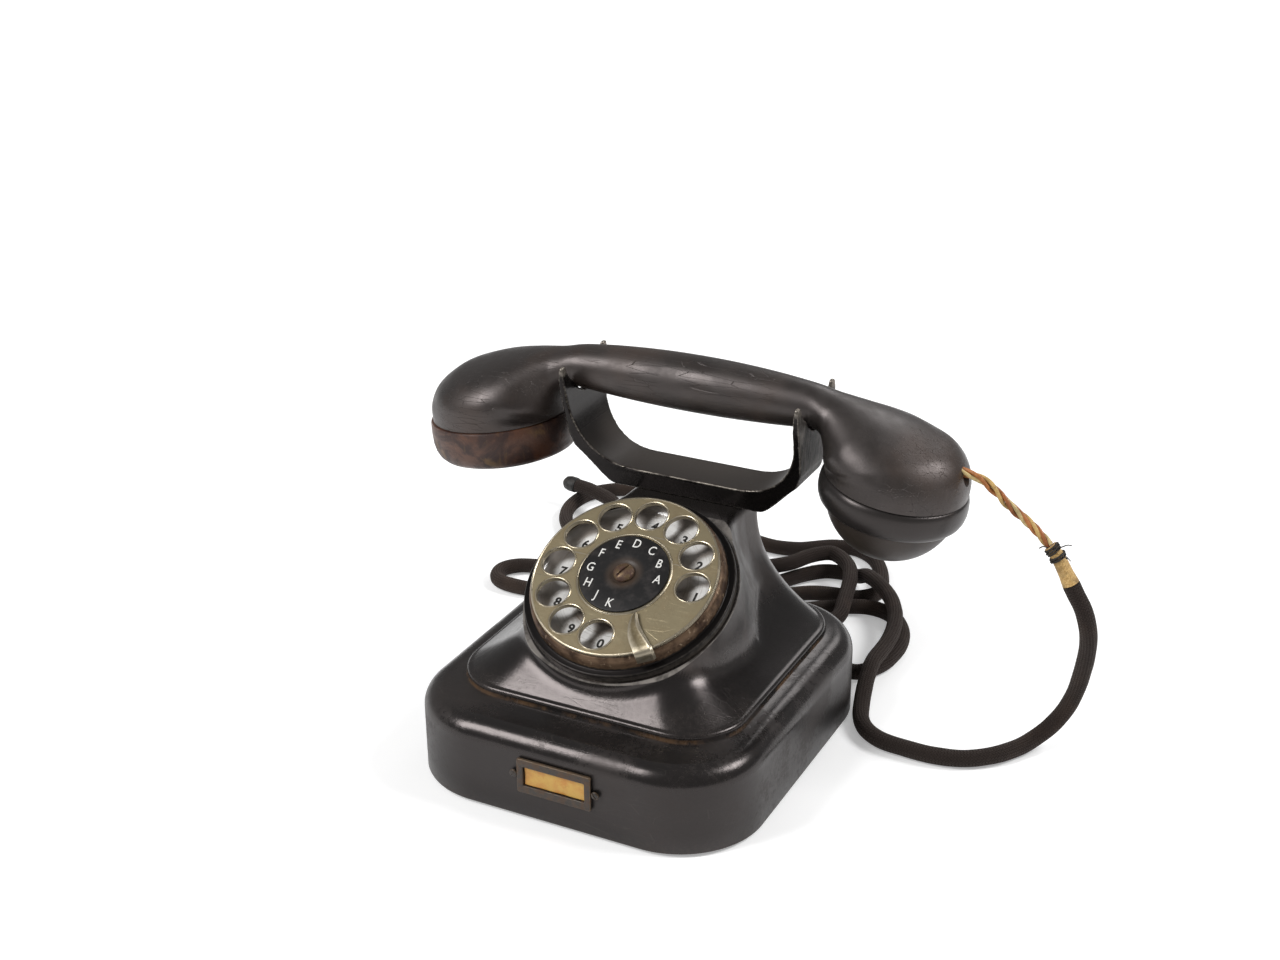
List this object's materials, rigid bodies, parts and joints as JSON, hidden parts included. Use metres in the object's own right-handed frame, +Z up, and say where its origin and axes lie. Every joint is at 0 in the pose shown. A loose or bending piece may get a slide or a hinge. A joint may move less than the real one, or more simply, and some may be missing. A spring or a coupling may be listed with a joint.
{
  "type": "desk telephone",
  "caption": "Rotary desk telephone with a stepped metal housing, an inclined finger dial and a handset lying in a four-horned cradle.",
  "frame": {"origin": "bottom centre of the set with its handset, on the table under the feet, cords left out", "axes": "+Z up, the dial faces -Y, the handset lies along X with its earpiece at -X"},
  "size_m": [0.3273, 0.3061, 0.1576],
  "materials": {
    "black_lacquer": "worn black lacquer",
    "cast_black": "worn black paint",
    "bakelite": "scuffed satin",
    "brown_bakelite": "satin",
    "aged_brass": "aged",
    "white_enamel": "gloss enamel",
    "steel": "plain",
    "gong_brass": "polished",
    "copper_coil": "wound wire",
    "rubber": "matt",
    "label_card": "paper card",
    "cord_braid": "braided",
    "wire_rubber": "matt",
    "whipping_thread": "bound thread"
  },
  "bodies": {
    "base": {"housing": "black_lacquer", "base_plate": "steel", "foot_1": "rubber", "foot_2": "rubber", "foot_3": "rubber", "foot_4": "rubber", "base_screw_1": "steel", "base_screw_2": "steel", "label_frame": "cast_black", "label_card": "label_card", "label_screw_1": "cast_black", "label_screw_2": "cast_black", "dial_case": "cast_black", "number_plate": "white_enamel", "mainspring_drum": "steel", "pulse_contact_block": "brown_bakelite", "finger_stop": "aged_brass", "neck_guide": "brown_bakelite", "hook_bracket": "steel", "lever_pin": "steel", "hook_contact_set": "brown_bakelite", "gong_left": "gong_brass", "gong_right": "gong_brass", "gong_post_left": "steel", "gong_post_right": "steel", "ringer_coil_left": "copper_coil", "ringer_coil_right": "copper_coil", "ringer_yoke": "steel", "clapper_pin": "steel", "induction_coil": "copper_coil", "capacitor_can": "steel", "terminal_block": "brown_bakelite", "handset_cord_bush": "rubber", "line_cord_bush": "rubber", "handset_cord": "cord_braid", "line_cord": "cord_braid", "line_connector": "rubber"},
    "dial": {"finger_wheel": "aged_brass", "centre_disc": "cast_black", "centre_screw": "aged_brass", "dial_shaft": "steel", "dial_gear": "gong_brass"},
    "pinion": {"pinion": "gong_brass", "pinion_shaft": "steel", "pulse_cam": "brown_bakelite"},
    "cradle": {"cradle_fork": "cast_black", "cradle_stem": "steel"},
    "hook_lever": {"hook_lever": "steel"},
    "clapper": {"clapper": "steel"},
    "handset": {"handset_handle": "bakelite", "ear_cap": "brown_bakelite", "receiver_capsule": "steel", "mouth_ring": "bakelite", "mouth_dome": "bakelite", "transmitter_capsule": "steel", "handset_wires": "wire_rubber", "cord_whipping": "whipping_thread"}
  },
  "joints": [
    {"name": "dial_turn", "type": "hinge", "parent": "base", "child": "dial", "pos_m": [0.0034, -0.0169, 0.0852], "axis": [0, 0.4818, -0.8763], "range_deg": [0, 310], "stiffness_Nm_per_rad": 0.005},
    {"name": "pinion_spin", "type": "hinge", "parent": "base", "child": "pinion", "pos_m": [0.0283, -0.0169, 0.0852], "axis": [0, 0.4818, -0.8763], "range_deg": [-930, 0]},
    {"name": "handset_lift", "type": "slide", "parent": "base", "child": "handset", "axis": [0, 0, 1], "range_m": [0, 0.06]},
    {"name": "cradle_rise", "type": "slide", "parent": "base", "child": "cradle", "axis": [0, 0, 1], "range_m": [0, 0.006]},
    {"name": "hook_swing", "type": "hinge", "parent": "base", "child": "hook_lever", "pos_m": [-0.0186, 0.0512, 0.054], "axis": [0, -1, 0], "range_deg": [0, 10.4]},
    {"name": "clapper_swing", "type": "hinge", "parent": "base", "child": "clapper", "pos_m": [0.0034, -0.009, 0.0158], "axis": [0, 0, 1], "range_deg": [-3, 3]}
  ],
  "couplings": [
    {"joint": "pinion_spin", "follows": "dial_turn", "ratio": -3},
    {"joint": "cradle_rise", "follows": "handset_lift", "ratio": 0.1},
    {"joint": "hook_swing", "follows": "handset_lift", "rad_per_m": 3}
  ]
}
